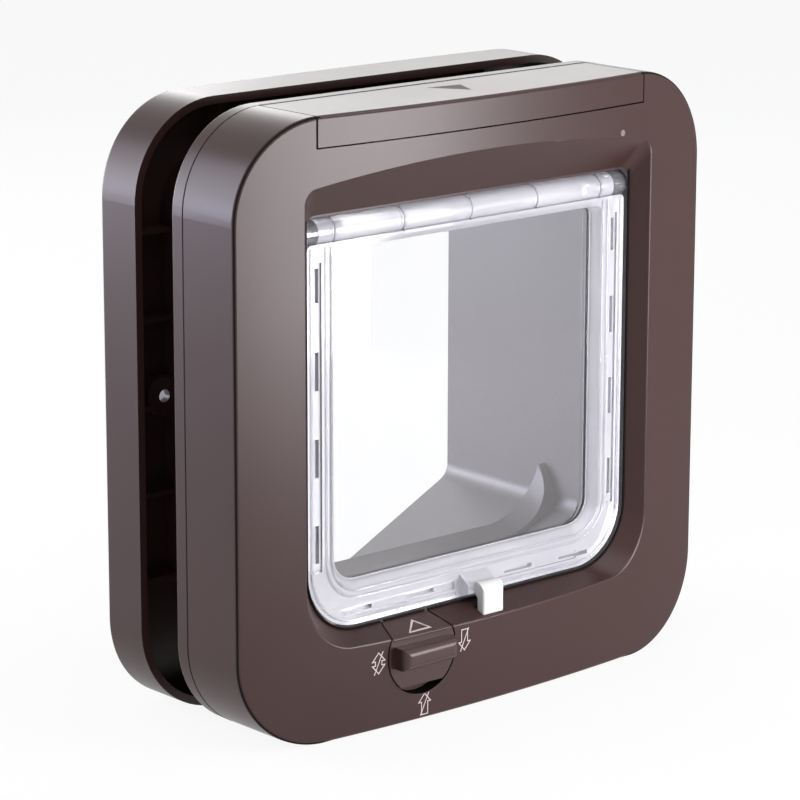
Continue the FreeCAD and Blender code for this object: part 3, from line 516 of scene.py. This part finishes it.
runBeads("pocket_shadow", [pocketShadowRun(-1), pocketShadowRun(1)], pocketShadow, "housing")
dialRun = straightRun((dialSpan["middle"] - dialSpan["inner"], pocketShadow["low"]),
                      (dialSpan["middle"] + dialSpan["inner"], pocketShadow["low"]))
# The dial's stretch of the painted shadow under the flap's rim.
runBeads("dial_pocket_shadow", [placedAt(dialRun, pocketShadow["front"])],
         {**pocketShadow, "slot": "dial_plastic"}, "lock_dial")

# Rings moulded round the hinge tube, one each side of its grooves.
hingeRings = {"y": -35.5 * mm, "z": 169.8 * mm, "tubeRadius": 4.45 * mm, "first": -60.4 * mm,
              "aside": 0.95 * mm, "copies": 5, "step": (30.2 * mm, 0.0, 0.0),
              "radius": 0.32 * mm, "sides": 8, "finish": "beadClear", "slot": "rim_clear"}


def ringPath(x, ring, points=40):
    turns = [2 * math.pi * i / points for i in range(points)]
    return [(x, ring["y"] + ring["tubeRadius"] * math.cos(a),
             ring["z"] + ring["tubeRadius"] * math.sin(a)) for a in turns], True


runBeads("hinge_rings", [ringPath(hingeRings["first"] + side * hingeRings["aside"], hingeRings)
                         for side in (-1, 1)], hingeRings, "flap")
print("flap ridges and rings run")

# The dial's crest carries on the lip of the recess; the lower wall of its bore gets painted shade,
# and its lower edge a bead that catches the light.
dialCrest = {"from": -43.0 * mm, "to": -18.2 * mm, "z": 30.03 * mm, "inset": 0.2 * mm,
             "steps": 12, "radius": 0.4 * mm, "sides": 12, "finish": "dialBrown",
             "slot": "dial_plastic"}
crestRun = straightRun((dialCrest["from"], dialCrest["z"]), (dialCrest["to"], dialCrest["z"]),
                       dialCrest["steps"])
runBeads("dial_crest", [placedOnFace(crestRun, dialCrest["inset"])], dialCrest, "lock_dial")
dialBore = {"x": -30.6 * mm, "z": 23.9 * mm, "wallRadius": 14.78 * mm, "wallThick": 0.3 * mm,
            "shallow": 0.35 * mm, "deep": 6.2 * mm, "edgeRadius": 15.0 * mm,
            "edgeInset": 0.05 * mm, "fromAngle": 200, "toAngle": 335, "radius": 0.2 * mm,
            "sides": 10, "finish": "shellBrown", "slot": "shell_plastic"}


def boreArc(radius, points=48):
    span = dialBore["toAngle"] - dialBore["fromAngle"]
    angles = [math.radians(dialBore["fromAngle"] + span * i / points) for i in range(points + 1)]
    return [Vector((dialBore["x"] + radius * math.cos(a), dialBore["z"] + radius * math.sin(a)))
            for a in angles]


boreRun = (boreArc(dialBore["edgeRadius"]), False)
runBeads("bore_edge", [placedOnFace(boreRun, dialBore["edgeInset"])], dialBore, "housing")

# Enamelled wire laid round the aerial, turn beside turn.
aerialLow, aerialHigh = (Vector(corner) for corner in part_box("antenna_loop"))
aerialWire = {"lowRadius": 19.1 * mm, "highRadius": 21.1 * mm, "radius": 0.26 * mm, "sides": 6,
              "copies": 9, "pitch": 0.54 * mm, "finish": "copperWinding", "slot": "coil_wrap"}
aerialWire["step"] = (0.0, aerialWire["pitch"], 0.0)
aerialStart = (aerialLow.y + aerialHigh.y - (aerialWire["copies"] - 1) * aerialWire["pitch"]) / 2
aerialCorners = [(-aerialHigh.x, aerialLow.z, aerialWire["lowRadius"]),
                 (aerialHigh.x, aerialLow.z, aerialWire["lowRadius"]),
                 (aerialHigh.x, aerialHigh.z, aerialWire["highRadius"]),
                 (-aerialHigh.x, aerialHigh.z, aerialWire["highRadius"])]
aerialRun = roundedRun(aerialCorners, True)
runBeads("aerial_wire", [placedAt(aerialRun, aerialStart)], aerialWire, "housing")
print("aerial wound")

# The latch's spring: a coil wound in its place at one fixed length; the real spring shortens as the
# latch goes down.
latchCoil = {"turns": 7, "points": 24, "travel": 8 * mm, "radius": 0.3 * mm, "sides": 8,
             "finish": "springSteel", "slot": "spring_steel"}
coilLow, coilHigh = (Vector(corner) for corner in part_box("entry_spring"))
coilFoot = Vector(((coilLow.x + coilHigh.x) / 2, (coilLow.y + coilHigh.y) / 2, coilLow.z))
coilWide = (coilHigh.x - coilLow.x) / 2 - latchCoil["radius"]
coilRise = coilHigh.z - coilLow.z - 2 * latchCoil["radius"]
coilRun = []
for i in range(latchCoil["turns"] * latchCoil["points"] + 1):
    turn = i / latchCoil["points"]
    angle = 2 * math.pi * turn
    coilRun.append(coilFoot + Vector((
        coilWide * math.cos(angle), coilWide * math.sin(angle),
        latchCoil["radius"] + coilRise * turn / latchCoil["turns"])))
coil = runBeads("latch_coil", [(coilRun, False)], latchCoil, "housing")
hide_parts("entry_spring")
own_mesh(coil)
print("latch spring wound")


# A thin strip above the hinge tube, which shuts out the draught and the light.
draughtLip = {"halfLength": 71 * mm, "low": 175.0 * mm, "high": 177.2 * mm, "front": -38.2 * mm,
              "thick": 0.9 * mm, "bevel": 0.2 * mm}


def slab(name, low, high, bevel, finish):
    made = bmesh.new()
    bmesh.ops.create_cube(made, size=1.0)
    for vert in made.verts:
        for axis in range(3):
            vert.co[axis] = high[axis] if vert.co[axis] > 0 else low[axis]
    bmesh.ops.bevel(made, geom=made.edges[:], offset=bevel, segments=3, profile=0.5,
                    affect="EDGES")
    bmesh.ops.recalc_face_normals(made, faces=made.faces[:])
    mesh = bpy.data.meshes.new(name)
    made.to_mesh(mesh)
    made.free()
    mesh.materials.append(finishes[finish])
    return mesh


lip = slab("draught_lip", (-draughtLip["halfLength"], draughtLip["front"], draughtLip["low"]),
           (draughtLip["halfLength"], draughtLip["front"] + draughtLip["thick"],
            draughtLip["high"]), draughtLip["bevel"], "shellBrown")
addPiece("draught_lip", lip, "housing")


# Painted shade: a thin dark strip on the lower wall of the dial's bore, standing in for the shade
# inside the bore.
def boreShade():
    made = bmesh.new()
    rows = []
    for radius in (dialBore["wallRadius"], dialBore["wallRadius"] + dialBore["wallThick"]):
        rows.append([tuple(made.verts.new((p.x, faceDepth(p.x) + dialBore[depth], p.y))
                           for depth in ("shallow", "deep")) for p in boreArc(radius)])
    inner, outer = rows
    for i in range(len(inner) - 1):
        (a, b), (c, d) = inner[i], inner[i + 1]
        (e, f), (g, h) = outer[i], outer[i + 1]
        for corners in ((a, b, d, c), (e, g, h, f), (a, c, g, e), (b, f, h, d)):
            made.faces.new(corners)
    for (a, b), (e, f) in ((inner[0], outer[0]), (inner[-1], outer[-1])):
        made.faces.new((a, e, f, b))
    bmesh.ops.recalc_face_normals(made, faces=made.faces[:])
    mesh = bpy.data.meshes.new("bore_shade")
    made.to_mesh(mesh)
    made.free()
    mesh.materials.append(finishes["jointDarkAndPaintedShade"])
    return mesh


addPiece("bore_shade", boreShade(), "housing")


# Flat strokes in x and z, joined at their corners.
def strokeMesh(paths, width):
    made = bmesh.new()
    half = width / 2
    for points, closed in paths:
        count = len(points)
        sides = []
        for i, point in enumerate(points):
            before = points[(i - 1) % count] if closed or i else None
            after = points[(i + 1) % count] if closed or i < count - 1 else None
            here = Vector(point)
            first = (here - Vector(before)).normalized() if before else None
            second = (Vector(after) - here).normalized() if after else None
            first = first or second
            second = second or first
            across = Vector((-first.y - second.y, first.x + second.x)).normalized()
            reach = half / max(0.35, across.dot(Vector((-first.y, first.x))))
            sides.append((here + across * reach, here - across * reach))
        verts = [(made.verts.new((a.x, 0, a.y)), made.verts.new((b.x, 0, b.y))) for a, b in sides]
        for i in range(count if closed else count - 1):
            (a, b), (c, d) = verts[i], verts[(i + 1) % count]
            made.faces.new((a, c, d, b))
    return made


def addInk(made, name, placeAt, outward, body, finish, thick):
    bmesh.ops.subdivide_edges(made, edges=made.edges[:], cuts=1)
    for vert in made.verts:
        vert.co = placeAt(vert.co.x, vert.co.z)
    bmesh.ops.recalc_face_normals(made, faces=made.faces[:])
    if sum(face.normal.dot(outward) for face in made.faces) < 0:
        bmesh.ops.reverse_faces(made, faces=made.faces[:])
    mesh = bpy.data.meshes.new(name)
    made.to_mesh(mesh)
    made.free()
    mesh.materials.append(finishes[finish])
    piece = addPiece(name, mesh, body)
    solid = piece.modifiers.new("ink", "SOLIDIFY")
    solid.thickness = thick
    solid.offset = -1.0
    return piece


# Crossed-out arrows printed round the dial.
symbolSize = {"tall": 7.3 * mm, "wide": 5.2 * mm, "stroke": 0.34 * mm, "head": 0.4,
              "shaft": 0.26, "slash": 0.36, "slashReach": 1.08, "proud": 0.03 * mm,
              "thick": 0.05 * mm}
symbols = {
    "bothWays": {"x": -49.3 * mm, "z": 23.4 * mm, "heads": ("up", "down")},
    "outward": {"x": -29.6 * mm, "z": 5.2 * mm, "heads": ("up",)},
    "inward": {"x": -11.9 * mm, "z": 24.3 * mm, "heads": ("down",)},
}


def arrowPaths(spot, size):
    top, half, shaft = size["tall"] / 2, size["wide"] / 2, size["wide"] * size["shaft"]
    neck = top - size["tall"] * size["head"]
    points = []
    if "up" in spot["heads"]:
        points += [(-shaft, neck), (-half, neck), (0, top), (half, neck), (shaft, neck)]
    else:
        points += [(-shaft, top), (shaft, top)]
    if "down" in spot["heads"]:
        points += [(shaft, -neck), (half, -neck), (0, -top), (-half, -neck), (-shaft, -neck)]
    else:
        points += [(shaft, -top), (-shaft, -top)]
    slashX, slashZ = size["wide"] * size["slash"], top * size["slashReach"]
    slash = [(-slashX, -slashZ), (slashX, slashZ)]
    return [([(spot["x"] + x, spot["z"] + z) for x, z in run], closed)
            for run, closed in ((points, True), (slash, False))]


for name, spot in symbols.items():
    addInk(strokeMesh(arrowPaths(spot, symbolSize), symbolSize["stroke"]), "symbol_" + name,
           lambda x, z: Vector((x, faceDepth(x) - symbolSize["proud"], z)), Vector((0, -1, 0)),
           "housing", "symbolInk", symbolSize["thick"])

# The dial's pointer lies on its sloping upper part, which carries on the recess floor.
dialPointer = {"corners": [(-34.9 * mm, 31.1 * mm), (-29.5 * mm, 33.05 * mm),
                           (-25.8 * mm, 31.1 * mm)], "stroke": 0.42 * mm, "proud": 0.06 * mm,
               "thick": 0.05 * mm}
recessSlope = {"frontZ": 30.2 * mm, "backZ": 34.4 * mm, "backY": -40.5 * mm}


def slopeSpot(x, z):
    share = (z - recessSlope["frontZ"]) / (recessSlope["backZ"] - recessSlope["frontZ"])
    depth = bodyLow.y + (recessSlope["backY"] - bodyLow.y) * share
    return Vector((x, depth, z + dialPointer["proud"]))


addInk(strokeMesh([(dialPointer["corners"], True)], dialPointer["stroke"]), "dial_pointer",
       slopeSpot, Vector((0, -0.37, 0.93)), "lock_dial", "symbolInk", dialPointer["thick"])

# On the battery cover: the moulded arrow filled flush, and the dull mark printed over it.
arrowBed = {"corners": [(-7.0 * mm, -24.0 * mm), (7.0 * mm, -24.0 * mm), (0.0, -33.0 * mm)],
            "proud": 0.0, "thick": 0.4 * mm, "finish": "shellBrown"}
coverArrow = {"corners": [(-7.0 * mm, -25.5 * mm), (6.0 * mm, -27.4 * mm),
                          (1.3 * mm, -38.2 * mm)], "proud": 0.02 * mm, "thick": 0.04 * mm,
              "finish": "coverMark"}
for name, arrow in (("arrow_bed", arrowBed), ("cover_arrow", coverArrow)):
    made = bmesh.new()
    made.faces.new([made.verts.new((x, 0, y)) for x, y in arrow["corners"]])
    addInk(made, name, lambda x, y: Vector((x, y, coverHigh.z + arrow["proud"])),
           Vector((0, 0, 1)), "battery_cover", arrow["finish"], arrow["thick"])
print("symbols printed")


def addFloor():
    bpy.ops.mesh.primitive_plane_add(size=12.0, location=(0, 0, 0))
    floor = bpy.context.object
    floor.name = "floor"
    material = bpy.data.materials.new("floorWhite")
    material.use_nodes = True
    tree = material.node_tree
    tree.nodes.clear()
    out = tree.nodes.new("ShaderNodeOutputMaterial")
    mix = tree.nodes.new("ShaderNodeMixShader")
    seen = tree.nodes.new("ShaderNodeMixShader")
    matt = tree.nodes.new("ShaderNodeBsdfDiffuse")
    matt.inputs["Color"].default_value = (0.82, 0.82, 0.82, 1.0)
    glow = tree.nodes.new("ShaderNodeEmission")
    glow.inputs["Strength"].default_value = 1.0
    mix.inputs["Fac"].default_value = 0.9
    tree.links.new(matt.outputs[0], mix.inputs[1])
    tree.links.new(glow.outputs[0], mix.inputs[2])
    tree.links.new(addSeenMask(tree), seen.inputs["Fac"])
    tree.links.new(matt.outputs[0], seen.inputs[1])
    tree.links.new(mix.outputs[0], seen.inputs[2])
    tree.links.new(seen.outputs[0], out.inputs["Surface"])
    floor.data.materials.append(material)


# 1 for rays from the camera, in reflections and through clear plastic, which all see white.
def addSeenMask(tree):
    path = tree.nodes.new("ShaderNodeLightPath")
    looks = addMath(tree, "ADD", path.outputs["Is Camera Ray"], path.outputs["Is Glossy Ray"], True)
    return addMath(tree, "ADD", looks, path.outputs["Is Transmission Ray"], True)


def addWorld(studio):
    world = bpy.data.worlds.new("studio")
    scene.world = world
    world.use_nodes = True
    tree = world.node_tree
    tree.nodes.clear()
    out = tree.nodes.new("ShaderNodeOutputWorld")
    seen = tree.nodes.new("ShaderNodeBackground")
    seen.inputs["Color"].default_value = (1, 1, 1, 1)
    seen.inputs["Strength"].default_value = 1.0
    lit = tree.nodes.new("ShaderNodeBackground")
    lit.inputs["Color"].default_value = (*studio["colour"], 1)
    lit.inputs["Strength"].default_value = studio["strength"]
    mix = tree.nodes.new("ShaderNodeMixShader")
    tree.links.new(addSeenMask(tree), mix.inputs["Fac"])
    tree.links.new(lit.outputs[0], mix.inputs[1])
    tree.links.new(seen.outputs[0], mix.inputs[2])
    tree.links.new(mix.outputs[0], out.inputs["Surface"])


def addSoftbox(name, box, target):
    lamp = bpy.data.lights.new(name, "AREA")
    lamp.shape = "RECTANGLE"
    lamp.size, lamp.size_y = box["size"]
    lamp.energy = box["power"]
    lamp.color = box.get("colour", (1, 1, 1))
    holder = bpy.data.objects.new(name, lamp)
    scene.collection.objects.link(holder)
    holder.location = box["spot"]
    aim = Vector(target) - Vector(box["spot"])
    holder.rotation_euler = aim.to_track_quat("-Z", "Y").to_euler()


# Soft lamps all round: their place in metres, size, power in watts and colour.
softboxes = {
    "leftBackHigh": {"spot": (-0.8, 0.7, 0.6), "size": (0.6, 0.6), "power": 7.2,
                     "colour": (0.83, 0.85, 1.0)},
    "leftBackLow": {"spot": (-0.95, 0.8, 0.17), "size": (0.6, 0.3), "power": 6.0,
                    "colour": (0.74, 0.76, 1.0)},
    "frontLow": {"spot": (0.21, -0.5, 0.125), "size": (0.24, 0.26), "power": 3.2,
                 "colour": (1.0, 0.96, 1.0)},
    "frontStrip": {"spot": (0.34, -0.48, 0.16), "size": (0.16, 0.17), "power": 0.2},
    "rear": {"spot": (-0.3, 0.75, 0.2), "size": (0.5, 0.3), "power": 3.0},
    "backRim": {"spot": (0.70, 0.85, 0.50), "size": (0.5, 0.3), "power": 1.1},
    "backTop": {"spot": (0.45, 0.95, 0.55), "size": (0.4, 0.3), "power": 1.2},
    "overhead": {"spot": (0.1, -0.3, 1.0), "size": (0.8, 0.8), "power": 3.2},
}
lampAim = (0.0, -0.03, 0.105)
for name, box in softboxes.items():
    addSoftbox(name, box, lampAim)
addFloor()
addWorld({"colour": (0.93, 0.95, 1.0), "strength": 0.44})
print("floor, world and", len(softboxes), "lamps set")

cameraView = {"spot": (-0.78431, -0.89096, 0.38789), "azimuth": 41.487, "drop": 13.777,
              "roll": 0.124, "lens": 158.08}


def addCamera(view):
    camera = bpy.data.cameras.new("camera")
    camera.sensor_width = 36.0
    camera.lens = view["lens"]
    camera.clip_start = 0.05
    holder = bpy.data.objects.new("camera", camera)
    scene.collection.objects.link(holder)
    turn = Euler((math.radians(90 - view["drop"]), 0, -math.radians(view["azimuth"]))).to_matrix()
    turn = turn @ Matrix.Rotation(math.radians(view["roll"]), 3, "Z")
    holder.matrix_world = Matrix.Translation(view["spot"]) @ turn.to_4x4()
    scene.camera = holder


addCamera(cameraView)
print("camera set")
